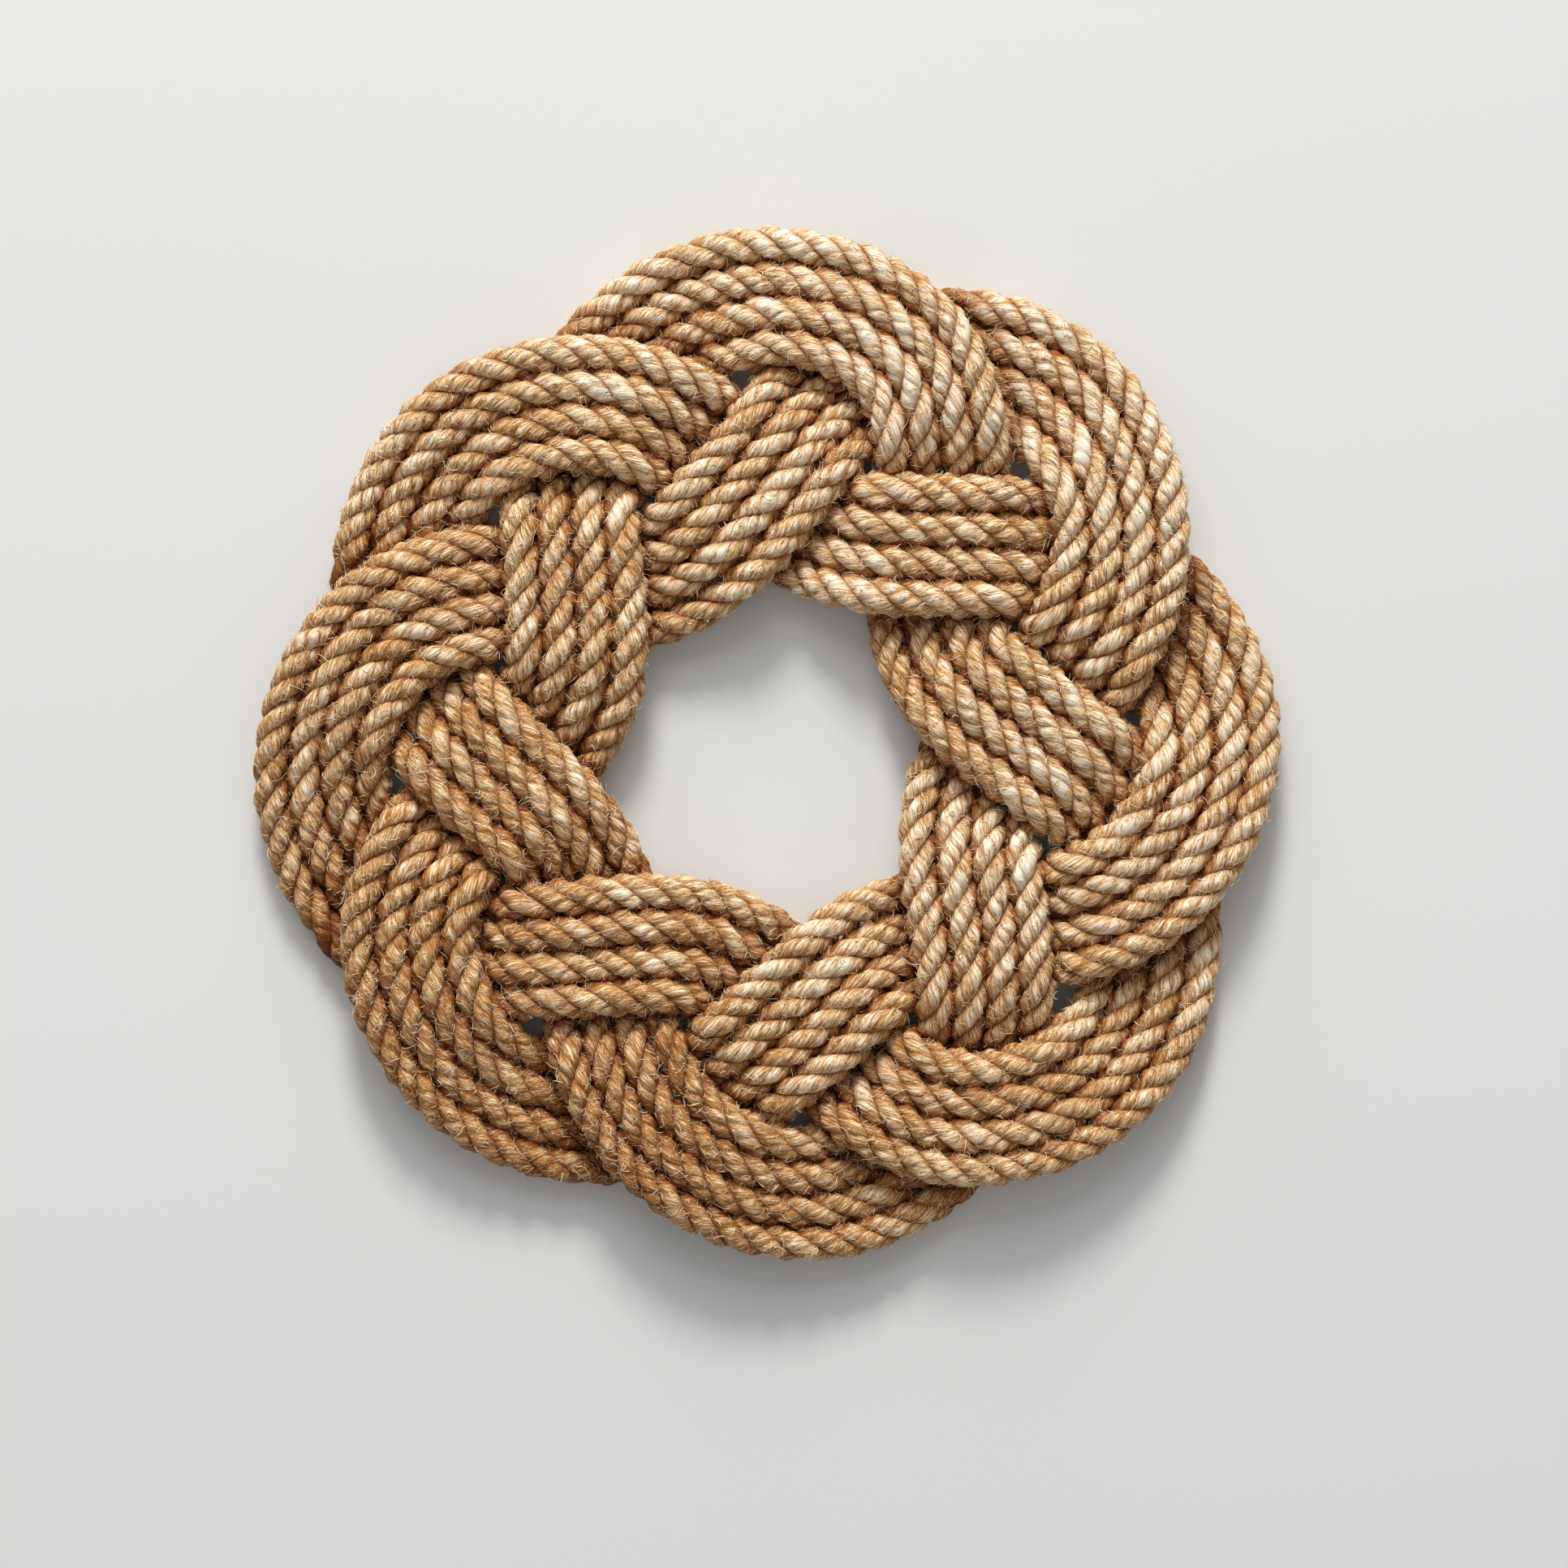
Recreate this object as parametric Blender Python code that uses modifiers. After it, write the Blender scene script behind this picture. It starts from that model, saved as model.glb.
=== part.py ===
"""A sailor's knot mat: one jute rope worked into a flat Turk's head of 3 leads and 8 bights.

The rope follows the same closed band four times, side by side, and lies over and under itself
in turn where the band crosses itself. Both ends meet on the underside, each under its whipping.
Units are metres, +Z is up, the mat lies on z = 0 and the origin is the middle of its underside.
"""

import math

import bmesh
import bpy
import numpy as np
from mathutils import Matrix, Vector, kdtree

# Rope
ROPE_DIAMETER = 0.0070
LANE_GAP = 0.0007
LAYER_GAP = 0.0022
PASSES = 4
FLAT_DEPTH = ROPE_DIAMETER / 10
TUBE_RESOLUTION = 1

# Distance between neighbouring lanes: a little wider near the hole than on the outer bights
LANE_PITCH = ROPE_DIAMETER + LANE_GAP
INNER_EASE = 0.0006
INNER_REACH = 7.5 * LANE_PITCH
OUTER_REACH = 13.5 * LANE_PITCH

# Where each round changes to the next lane, hidden under the last crossing
SHIFT_BEFORE = 0.008
SHIFT_AFTER = 0.020
START_INSET = 0.006
FINISH_INSET = 0.010

# Whippings: twine wound round each narrowed rope end
TWINE_DIAMETER = 0.0008
WHIPPING_TURNS = 7
WHIPPING_STEPS = 24
WHIPPED_RADIUS = 0.0023
SEAT_GAP = 0.0003
TIP_LENGTH = 0.0012
END_TAPER = 0.003

# Middle of the band, in lane pitches from the middle of the mat: a knot tied with a thicker rope
# keeps its shape and grows. Each row is one bight, in the order in which the rope reaches them:
# the outer bight, over the next bight's start, the inner bight, over the next inner part, and
# under the neighbour's outer part.
ROUTE = [
    [(-13.6, -1.1), (-10.8, 4.1), (-2.8, 5.6), (-0.5, 7.7), (4.5, 11.9)],
    [(8.6, 11.1), (10.5, 4.6), (6.3, -1.6), (6.5, -5.5), (5.5, -11.4)],
    [(1.4, -13.5), (-3.8, -10.7), (-6.0, -3.4), (-7.9, -1.2), (-11.2, 3.9)],
    [(-9.7, 8.9), (-4.6, 10.4), (2.3, 6.5), (4.6, 6.2), (10.6, 5.2)],
    [(13.6, 0.6), (10.7, -4.5), (3.4, -6.3), (1.4, -7.9), (-3.7, -11.1)],
    [(-9.1, -9.7), (-10.8, -5.0), (-5.9, 2.2), (-5.8, 4.6), (-5.3, 10.6)],
    [(-0.5, 13.8), (4.6, 11.6), (5.8, 2.4), (7.6, 0.7), (11.6, -4.1)],
    [(10.5, -9.4), (5.0, -11.1), (-1.9, -6.1), (-5.0, -6.0), (-11.0, -5.2)],
]
ROUTE_STEP = LANE_PITCH / 4

# How far the drawn tube's chords may leave the smooth path
CHORD_ERROR = 0.00045

# How stretches of the rope keep each other away
PUSH_DISTANCE = LANE_PITCH + 0.0001
DRAWN_DISTANCE = LANE_PITCH
DRAWN_PARTS = 6
GAP_PARTS = 10
PUSH_SEARCH = 1.5 * LANE_PITCH
OWN_REACH = 3 * LANE_PITCH
PUSH_ROUNDS = 80
PUSH_SHARE = 0.3

# Derived sizes
ROPE_RADIUS = ROPE_DIAMETER / 2
TUBE_SIDES = 4 + 2 * TUBE_RESOLUTION
LOW = ROPE_RADIUS * math.cos(math.pi / TUBE_SIDES) - FLAT_DEPTH
HIGH = LOW + ROPE_DIAMETER + LAYER_GAP
HALF_BAND = (PASSES - 1) / 2
SEARCH_REACH = (PASSES + 1) * LANE_PITCH
WHIPPING_LENGTH = WHIPPING_TURNS * TWINE_DIAMETER
WHIPPING_BORE = WHIPPED_RADIUS + SEAT_GAP
WHIPPING_RADIUS = WHIPPING_BORE + TWINE_DIAMETER
WHIPPED_LENGTH = SEAT_GAP + WHIPPING_LENGTH + TIP_LENGTH
WHIPPED_HEIGHT = WHIPPING_RADIUS + SEAT_GAP

ROPE_COLOUR = (0.42, 0.25, 0.11)
TWINE_COLOUR = (0.50, 0.34, 0.17)


def remove_everything():
    """Empty the scene that the script starts in."""
    for thing in list(bpy.data.objects):
        bpy.data.objects.remove(thing, do_unlink=True)


def new_collection(name):
    """A collection linked to the scene."""
    group = bpy.data.collections.new(name)
    bpy.context.scene.collection.children.link(group)
    return group


def new_material(name, colour, roughness):
    """A plain Principled material."""
    material = bpy.data.materials.new(name)
    material.use_nodes = True
    shader = material.node_tree.nodes["Principled BSDF"]
    shader.inputs["Base Color"].default_value = (*colour, 1.0)
    shader.inputs["Roughness"].default_value = roughness
    shader.inputs["Metallic"].default_value = 0.0
    material.diffuse_color = (*colour, 1.0)
    return material


def closed_spline(corners, step):
    """Points, about a step apart, of the smooth closed curve through corners."""
    count = len(corners)
    chords = np.linalg.norm(np.roll(corners, -1, axis=0) - corners, axis=1)
    matrix = np.zeros((count, count))
    right = np.zeros((count, 2))
    for i in range(count):
        before = chords[i - 1]
        after = chords[i]
        matrix[i, i - 1] += before
        matrix[i, i] += 2 * (before + after)
        matrix[i, (i + 1) % count] += after
        slope_after = (corners[(i + 1) % count] - corners[i]) / after
        slope_before = (corners[i] - corners[i - 1]) / before
        right[i] = 6 * (slope_after - slope_before)
    bend = np.linalg.solve(matrix, right)
    points = []
    for i in range(count):
        j = (i + 1) % count
        chord = chords[i]
        along = np.linspace(0, chord, round(chord / step), endpoint=False)[:, None]
        left = chord - along
        curve = (bend[i] * left ** 3 + bend[j] * along ** 3) / (6 * chord)
        line_start = (corners[i] / chord - bend[i] * chord / 6) * left
        line_end = (corners[j] / chord - bend[j] * chord / 6) * along
        points.append(curve + line_start + line_end)
    return np.vstack(points)


def left_normals(points):
    """Unit normals of a closed curve, on the left of its travel."""
    ahead = np.roll(points, -1, axis=0) - np.roll(points, 1, axis=0)
    ahead /= np.linalg.norm(ahead, axis=1)[:, None]
    return np.stack([-ahead[:, 1], ahead[:, 0]], axis=1)


def lane_pitch_at(points):
    """Distance between neighbouring lanes: wider near the hole."""
    reach = np.linalg.norm(points, axis=1)
    return np.interp(reach, [INNER_REACH, OUTER_REACH], [LANE_PITCH + INNER_EASE, LANE_PITCH])


def find_visits(points):
    """Each passage of the band through one of its crossings: its index and the other band's."""
    start = points
    step = np.roll(points, -1, axis=0) - points
    apart = start[None, :, :] - start[:, None, :]
    turn = step[:, None, 0] * step[None, :, 1] - step[:, None, 1] * step[None, :, 0]
    turn[np.abs(turn) < 1e-15] = np.inf
    own = (apart[:, :, 0] * step[None, :, 1] - apart[:, :, 1] * step[None, :, 0]) / turn
    other = (apart[:, :, 0] * step[:, None, 1] - apart[:, :, 1] * step[:, None, 0]) / turn
    meets = (own >= 0) & (own < 1) & (other >= 0) & (other < 1)
    np.fill_diagonal(meets, False)
    return [(int(i), int(j)) for i, j in np.argwhere(meets)]


def smooth(value):
    """0 to 1 with a flat start and a flat end."""
    value = np.clip(value, 0.0, 1.0)
    return value * value * (3 - 2 * value)


class Band:
    """The middle line of the four lanes, closed, with its crossings in order."""

    def __init__(self):
        corners = np.array([corner for bight in ROUTE for corner in bight]) * LANE_PITCH
        self.points = closed_spline(corners, ROUTE_STEP)
        self.normals = left_normals(self.points)
        self.pitches = lane_pitch_at(self.points)
        self.count = len(self.points)
        steps = np.linalg.norm(np.roll(self.points, -1, axis=0) - self.points, axis=1)
        self.length = float(steps.sum())
        self.travel = np.concatenate([[0.0], np.cumsum(steps)[:-1]])
        self.visits = find_visits(self.points)
        self.seam = self.visits[-1][0]

    def seam_slant(self):
        """Travel along the band, for one lane outward, of the crossing that hides the seam."""
        own, other = self.visits[-1]
        ahead = self.normals[own][1], -self.normals[own][0]
        across = self.normals[other][1], -self.normals[other][0]
        out = self.normals[own]
        lean = out[0] * across[1] - out[1] * across[0]
        turn = ahead[0] * across[1] - ahead[1] * across[0]
        return -lean / turn * self.pitches[own]


class RopePath:
    """The whole rope, finely stepped: four rounds of the band, each on its own lane."""

    def __init__(self, band):
        self.band = band
        total = PASSES * band.count + 1
        self.steps = np.arange(band.seam, band.seam + total)
        self.on_band = self.steps % band.count
        rounds = self.steps // band.count
        travel = band.travel[self.on_band] + rounds * band.length
        self.travel = travel - travel[0]
        self.lanes = self.lane_positions()
        sideways = HALF_BAND - self.lanes
        offset = band.normals[self.on_band] * (sideways * band.pitches[self.on_band])[:, None]
        flat = band.points[self.on_band] + offset
        run = np.linalg.norm(np.diff(flat, axis=0), axis=1)
        self.run = np.concatenate([[0.0], np.cumsum(run)])
        self.flat = flat
        self.first = self.index_at(START_INSET, -1.0)
        self.last = self.index_at(PASSES * band.length - FINISH_INSET, PASSES - 1.0)
        self.crossings = self.find_crossings()
        self.height = self.find_heights()
        self.places = self.pushed_apart(np.column_stack([self.flat, self.height]))
        self.centre()

    def index_at(self, travel, lane):
        """Step at a travel from the rope's start, measured where this lane meets the seam."""
        slanted = travel + self.band.seam_slant() * (HALF_BAND - lane)
        return int(np.argmin(np.abs(self.travel - slanted)))

    def lane_positions(self):
        """Lane of each step, 0 outermost: each passage of the seam moves the rope inward by one."""
        lanes = np.full(len(self.steps), -1.0)
        slant = self.band.seam_slant()
        for passage in range(PASSES):
            middle = HALF_BAND + 0.5 - passage
            since = self.travel - passage * self.band.length - slant * middle
            lanes += smooth((since + SHIFT_BEFORE) / (SHIFT_BEFORE + SHIFT_AFTER))
        return lanes

    def find_crossings(self):
        """Stretches that lie across the other band's ropes: first step, last step, over or under."""
        band = self.band
        window = round(SEARCH_REACH / ROUTE_STEP)
        found = []
        for rank, (own, other) in enumerate(band.visits):
            over = rank % 2 == 0
            near = np.arange(other - window, other + window + 1) % band.count
            for base in range(own - band.seam, len(self.steps) + band.count, band.count):
                low = max(self.first, base - window)
                high = min(self.last, base + window)
                if high <= low:
                    continue
                here = self.flat[low:high + 1]
                apart = here[:, None, :] - band.points[near][None, :, :]
                nearest = near[np.argmin((apart ** 2).sum(axis=2), axis=1)]
                away = ((here - band.points[nearest]) * band.normals[nearest]).sum(axis=1)
                inside = np.abs(away) <= HALF_BAND * band.pitches[nearest]
                middle = int(np.argmin(np.abs(away)))
                if not inside[middle]:
                    continue
                before = np.flatnonzero(~inside[:middle])
                after = np.flatnonzero(~inside[middle:])
                start = int(before[-1]) + 1 if len(before) else 0
                end = middle + int(after[0]) - 1 if len(after) else len(inside) - 1
                found.append((low + start, low + end, over, rank))
        return sorted(found)

    def find_heights(self):
        """Height of the rope's middle: level over and under the other ropes, eased between."""
        height = np.zeros(len(self.steps))
        for first, last, over, _ in self.crossings:
            height[first:last + 1] = HIGH if over else LOW
        for before, after in zip(self.crossings, self.crossings[1:]):
            leave = before[1]
            reach = after[0]
            part = (self.run[leave:reach + 1] - self.run[leave]) / (self.run[reach] - self.run[leave])
            ease = (1 - np.cos(math.pi * part)) / 2
            height[leave:reach + 1] = height[leave] + (height[reach] - height[leave]) * ease
        return height

    def step_at(self, run):
        """Step nearest to a length along the rope."""
        return int(np.argmin(np.abs(self.run - run)))

    def corner_steps(self, start, finish):
        """Steps for the drawn tube's corners: as few as keep its chords near the fine path."""
        corners = [start]
        while corners[-1] < finish:
            here = corners[-1]
            reach = here + 1
            while reach < finish and self.chord_error(here, reach + 1) < CHORD_ERROR:
                reach += 1
            corners.append(reach)
        return corners

    def chord_error(self, start, end):
        """Largest distance of the fine path, between two steps, from the straight line."""
        chord = self.places[end] - self.places[start]
        between = self.places[start:end + 1] - self.places[start]
        along = between @ chord / (chord @ chord)
        return float(np.linalg.norm(between - along[:, None] * chord, axis=1).max())

    def centre(self):
        """Put the middle of the mat's length and width on the origin."""
        rope = self.places[self.first:self.last + 1, :2]
        self.places[:, :2] -= (rope.min(axis=0) + rope.max(axis=0)) / 2

    def pushed_apart(self, places):
        """The finely stepped rope after its stretches have pushed each other away."""
        held = np.arange(self.first, self.last + 1)
        settled = places.copy()
        settled[held] = push_apart(places[held], 1, PUSH_DISTANCE, LOW)
        return settled


def push_apart(corners, parts, distance, lowest):
    """Move the corners of an open line until its stretches keep a distance from each other.

    The rope is round and stiff: where two stretches lie too near, both give way, most at the
    corners next to the place, and no corner goes lower than its lowest height.
    """
    share = np.arange(parts) / parts
    owner = np.repeat(np.arange(len(corners) - 1), parts)
    weight = np.tile(share, len(corners) - 1)
    moved = corners.copy()
    samples = mixed(moved, owner, weight)
    lengths = np.linalg.norm(np.diff(samples, axis=0), axis=1)
    run = np.concatenate([[0.0], np.cumsum(lengths)])
    tree = kdtree.KDTree(len(samples))
    for number, place in enumerate(samples):
        tree.insert(Vector(place), number)
    tree.balance()
    pairs = []
    for number, place in enumerate(samples):
        for _, other, _ in tree.find_range(Vector(place), PUSH_SEARCH):
            if run[other] - run[number] > OWN_REACH:
                pairs.append((number, other))
    left, right = np.array(pairs).T
    for _ in range(PUSH_ROUNDS):
        samples = mixed(moved, owner, weight)
        apart = samples[right] - samples[left]
        between = np.linalg.norm(apart, axis=1)
        push = np.clip(distance - between, 0, None) * PUSH_SHARE
        move = apart * (push / between)[:, None]
        total = np.zeros_like(moved)
        count = np.ones(len(moved))
        for side, sign in ((left, -1.0), (right, 1.0)):
            near = 1 - weight[side]
            far = weight[side]
            np.add.at(total, owner[side], sign * move * near[:, None])
            np.add.at(total, owner[side] + 1, sign * move * far[:, None])
            np.add.at(count, owner[side], (push > 0) * near)
            np.add.at(count, owner[side] + 1, (push > 0) * far)
        moved += total / np.sqrt(count)[:, None]
        if parts == 1:
            shift = moved - corners
            for _ in range(2):
                shift[1:-1] += ((shift[:-2] + shift[2:]) / 2 - shift[1:-1]) / 2
            moved = corners + shift
        moved[:, 2] = np.maximum(moved[:, 2], lowest)
    return moved


def mixed(corners, owner, weight):
    """Points on the line's chords: each on its owner's chord, at its weight along it."""
    return corners[owner] * (1 - weight)[:, None] + corners[owner + 1] * weight[:, None]


def drawn_line(path):
    """Corners of the drawn rope and its radius at each: full all along, narrowed at the ends."""
    narrow = WHIPPED_LENGTH + END_TAPER
    start = path.step_at(path.run[path.first] + narrow)
    finish = path.step_at(path.run[path.last] - narrow)
    start_neck = path.step_at(path.run[path.first] + WHIPPED_LENGTH)
    finish_neck = path.step_at(path.run[path.last] - WHIPPED_LENGTH)
    steps = [path.first, start_neck] + path.corner_steps(start, finish) + [finish_neck, path.last]
    ends = [0, 1, -2, -1]
    radii = np.full(len(steps), ROPE_RADIUS)
    radii[ends] = WHIPPED_RADIUS
    lowest = np.full(len(steps), LOW)
    lowest[ends] = WHIPPED_HEIGHT
    corners = path.places[steps]
    corners[:, 2] = np.maximum(corners[:, 2], lowest)
    return push_apart(corners, DRAWN_PARTS, DRAWN_DISTANCE, lowest), radii


def least_gap(points):
    """Least distance between two stretches of a line that aren't neighbours on it, and its length."""
    count = len(points) - 1
    owner = np.repeat(np.arange(count), GAP_PARTS)
    samples = mixed(points, owner, np.tile(np.arange(GAP_PARTS) / GAP_PARTS, count))
    lengths = np.linalg.norm(np.diff(samples, axis=0), axis=1)
    run = np.concatenate([[0.0], np.cumsum(lengths)])
    tree = kdtree.KDTree(len(samples))
    for number, place in enumerate(samples):
        tree.insert(Vector(place), number)
    tree.balance()
    least = math.inf
    for number, place in enumerate(samples):
        for _, other, distance in tree.find_range(Vector(place), PUSH_SEARCH):
            if run[other] - run[number] > OWN_REACH:
                least = min(least, distance)
    return least, float(run[-1])


def add_rope(points, radii, group, cutters):
    """The rope as one unbroken tube along its corners, cut flat where it stands."""
    curve = bpy.data.curves.new("rope_line", "CURVE")
    curve.dimensions = "3D"
    curve.twist_mode = "Z_UP"
    curve.bevel_depth = ROPE_RADIUS
    curve.bevel_resolution = TUBE_RESOLUTION
    curve.use_fill_caps = True
    spline = curve.splines.new("POLY")
    spline.points.add(len(points) - 1)
    for corner, place, radius in zip(spline.points, points, radii):
        corner.co = (*place, 1.0)
        corner.radius = radius / ROPE_RADIUS
    line = bpy.data.objects.new("rope_line", curve)
    group.objects.link(line)
    bpy.context.view_layer.update()
    evaluated = line.evaluated_get(bpy.context.evaluated_depsgraph_get())
    mesh = bpy.data.meshes.new_from_object(evaluated)
    rope = bpy.data.objects.new("rope", mesh)
    rope.matrix_world = line.matrix_world
    group.objects.link(rope)
    bpy.data.objects.remove(line, do_unlink=True)
    shape = bmesh.new()
    shape.from_mesh(mesh)
    bmesh.ops.remove_doubles(shape, verts=shape.verts, dist=0.00001)
    bmesh.ops.recalc_face_normals(shape, faces=shape.faces)
    shape.to_mesh(mesh)
    shape.free()

    reach = float(np.abs(points[:, :2]).max()) + ROPE_DIAMETER
    bpy.ops.mesh.primitive_cube_add(size=1.0, location=(0.0, 0.0, -ROPE_DIAMETER / 2))
    slab = bpy.context.object
    slab.name = "ground_cut"
    slab.scale = (2 * reach, 2 * reach, ROPE_DIAMETER)
    bpy.ops.object.transform_apply(location=False, rotation=False, scale=True)
    move_to(slab, cutters)
    slab.hide_render = True
    slab.display_type = "WIRE"
    cut = rope.modifiers.new("cut_flat", "BOOLEAN")
    cut.operation = "DIFFERENCE"
    cut.solver = "EXACT"
    cut.object = slab
    mesh.shade_smooth()
    mesh.set_sharp_from_angle(angle=math.radians(50))
    mesh.materials.append(new_material("jute_rope", ROPE_COLOUR, 0.95))


def move_to(thing, group):
    """Leave an object in one collection only."""
    for holder in list(thing.users_collection):
        holder.objects.unlink(thing)
    group.objects.link(thing)


def add_whipping(name, neck, tip, group, material):
    """Twine wound side by side round a rope end: a sleeve with one rib for each turn."""
    ribs = [(WHIPPING_RADIUS - TWINE_DIAMETER / 4, WHIPPING_LENGTH)]
    for turn in range(WHIPPING_TURNS, 0, -1):
        ribs.append((WHIPPING_RADIUS, (turn - 0.5) * TWINE_DIAMETER))
        ribs.append((WHIPPING_RADIUS - TWINE_DIAMETER / 4, (turn - 1) * TWINE_DIAMETER))
    profile = ribs + [(WHIPPING_BORE, 0.0), (WHIPPING_BORE, WHIPPING_LENGTH)]
    mesh = bpy.data.meshes.new(name)
    shape = bmesh.new()
    verts = [shape.verts.new((radius, 0.0, height)) for radius, height in profile]
    for start, end in zip(verts, verts[1:] + verts[:1]):
        shape.edges.new((start, end))
    shape.to_mesh(mesh)
    shape.free()
    whipping = bpy.data.objects.new(name, mesh)
    group.objects.link(whipping)
    axis = Vector(tip - neck).normalized()
    turned = axis.to_track_quat("Z", "Y").to_matrix().to_4x4()
    whipping.matrix_world = Matrix.Translation(Vector(neck) + SEAT_GAP * axis) @ turned
    screw = whipping.modifiers.new("turn", "SCREW")
    screw.axis = "Z"
    screw.steps = WHIPPING_STEPS
    screw.render_steps = WHIPPING_STEPS
    screw.use_merge_vertices = True
    screw.merge_threshold = 0.00001
    screw.use_smooth_shade = True
    mesh.materials.append(material)


def main():
    """Build the mat and print the rope's length and its least gap to itself."""
    remove_everything()
    parts = new_collection("sailors_knot_mat")
    cutters = new_collection("cutters")
    path = RopePath(Band())
    points, radii = drawn_line(path)
    add_rope(points, radii, parts, cutters)
    twine = new_material("whipping_twine", TWINE_COLOUR, 0.9)
    add_whipping("whipping_start", points[1], points[0], parts, twine)
    add_whipping("whipping_finish", points[-2], points[-1], parts, twine)
    least, length = least_gap(points)
    print(f"rope {length:.3f} m long, {len(points)} corners")
    print(f"least gap of the rope to itself {(least - ROPE_DIAMETER) * 1000:.2f} mm")


main()
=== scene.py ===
"""Looks of the sailor's knot mat: jute rope worked into a flat Turk's head of 3 leads and 8 bights.

The rope follows the CAD model's route. Its three strands, their yarns and the loose fibres are
geometry, and where ropes press on each other their sides are flattened against one another.
Lengths are in metres, apart from the skin's yarns and its noise, which are in millimetres.
"""
import math

import bpy
import numpy as np
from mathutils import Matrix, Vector, kdtree


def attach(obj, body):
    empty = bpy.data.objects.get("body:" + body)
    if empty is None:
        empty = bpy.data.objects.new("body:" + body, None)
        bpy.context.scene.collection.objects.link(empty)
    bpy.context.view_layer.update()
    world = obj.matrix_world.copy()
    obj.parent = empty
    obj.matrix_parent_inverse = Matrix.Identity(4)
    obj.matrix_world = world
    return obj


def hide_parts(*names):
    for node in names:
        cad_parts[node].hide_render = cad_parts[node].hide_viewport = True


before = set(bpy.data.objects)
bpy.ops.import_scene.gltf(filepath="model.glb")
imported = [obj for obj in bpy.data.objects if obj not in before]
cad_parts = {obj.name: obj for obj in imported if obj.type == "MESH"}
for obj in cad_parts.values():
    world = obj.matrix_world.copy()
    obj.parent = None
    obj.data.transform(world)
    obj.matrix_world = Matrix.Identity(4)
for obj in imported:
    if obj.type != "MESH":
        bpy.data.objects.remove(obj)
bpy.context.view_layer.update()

MM = 1000
UP = [0.0, 0.0, 1.0]

# The rope's route, as the CAD model has it. Each row of ROUTE is a bight, in lane pitches from the
# middle of the mat
LANE_PITCH = 0.0077
PASSES = 4
INNER_EASE = 0.0006
INNER_REACH = 7.5 * LANE_PITCH
OUTER_REACH = 13.5 * LANE_PITCH
SHIFT_BEFORE = 0.008
SHIFT_AFTER = 0.020
START_INSET = 0.006
FINISH_INSET = 0.010
ROUTE = [
    [(-13.6, -1.1), (-10.8, 4.1), (-2.8, 5.6), (-0.5, 7.7), (4.5, 11.9)],
    [(8.6, 11.1), (10.5, 4.6), (6.3, -1.6), (6.5, -5.5), (5.5, -11.4)],
    [(1.4, -13.5), (-3.8, -10.7), (-6.0, -3.4), (-7.9, -1.2), (-11.2, 3.9)],
    [(-9.7, 8.9), (-4.6, 10.4), (2.3, 6.5), (4.6, 6.2), (10.6, 5.2)],
    [(13.6, 0.6), (10.7, -4.5), (3.4, -6.3), (1.4, -7.9), (-3.7, -11.1)],
    [(-9.1, -9.7), (-10.8, -5.0), (-5.9, 2.2), (-5.8, 4.6), (-5.3, 10.6)],
    [(-0.5, 13.8), (4.6, 11.6), (5.8, 2.4), (7.6, 0.7), (11.6, -4.1)],
    [(10.5, -9.4), (5.0, -11.1), (-1.9, -6.1), (-5.0, -6.0), (-11.0, -5.2)],
]
ROUTE_STEP = LANE_PITCH / 4
HALF_BAND = (PASSES - 1) / 2
SEARCH_REACH = (PASSES + 1) * LANE_PITCH

# How stretches of the rope keep each other away
PUSH_DISTANCE = LANE_PITCH + 0.0001
PUSH_SEARCH = 1.5 * LANE_PITCH
OWN_REACH = 3 * LANE_PITCH
PUSH_ROUNDS = 80
PUSH_SHARE = 0.3

# Small strays of the rope's line, and the small gaps at crossings that the turns round them lean
# into: where each gap is, and how far they lean
WANDER_SIDE = 0.0003
WANDER_UP = 0.0005
WANDER_LENGTH = 0.035
WANDER_UP_PACE = 1.3
LEANS = [(-0.0048, 0.0872, 0.0017), (0.0598, 0.0661, 0.0013), (0.0866, 0.0066, 0.0014),
         (-0.0870, -0.0079, 0.0005)]
LEAN_CORE = 0.004
LEAN_REACH = 0.024

# The rope as it looks: thicker than its pitch, because neighbouring turns press on each other
ROPE = 0.0083
LOW = 0.0040
HIGH = 0.0115
STRANDS = 3
LAY = 0.0220
CREASE_DEPTH = 0.33
CREASE_ROUNDING = 1.9
YARN_WIDTH = 3.50
YARN_DEPTH = 0.58
YARN_TILT = 1.56
YARN_ROUNDING = 0.6
YARN_BULGE = 2.4
YARN_LEVEL = 0.66
FIBRE_TILT = 1.30
ROLL = 0.96

# The whipped ends: a narrowed rope inside tight turns of two-ply twine
TWINE = 0.0008
TWINE_SWELL = 1.04
TWINE_TURNS = 7
TWINE_LAY = 0.0030
TWINE_COLUMNS = 14
TWINE_RINGS_PER_TURN = 40
PLY_DEPTH = 0.16
TUCK_PACE = 6
NECK_SHARE = 0.57
NECK_LENGTH = 0.004
TIP_LENGTH = 0.0012
END_BEND = 0.007
END_STEPS = 5

# Mesh fineness: how far apart the rope's rings are, columns round it, pieces that it is cut into,
# and points of its smooth line to each given one
RING_STEP = 0.00036
COLUMNS = 78
PARTS = 17
LINE_PARTS = 10

# Where ropes press on each other: rings to a step of the search, how far it looks, how far the
# skins pass each other, how rounded a pressed edge is, and the reach where nothing presses
PRESS_STEP = 3
PRESS_REACH = 0.0115
PRESS_OVERLAP = 0.00002
PRESS_ROUNDING = 0.0004
PRESS_NONE = 0.02

# Gaps between skins up to the first size fill up, and from the second they stay. Both sizes are
# larger where the skin faces sideways or down, and the thinner whipped ends fill no gap
PRESS_FULL = 0.0003
PRESS_FILL = 0.0010
PRESS_FILL_LOW = 1.4
PRESS_LOW = 0.15
PRESS_LOW_RANGE = 0.4
PRESS_THICKNESS = 0.9

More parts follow.
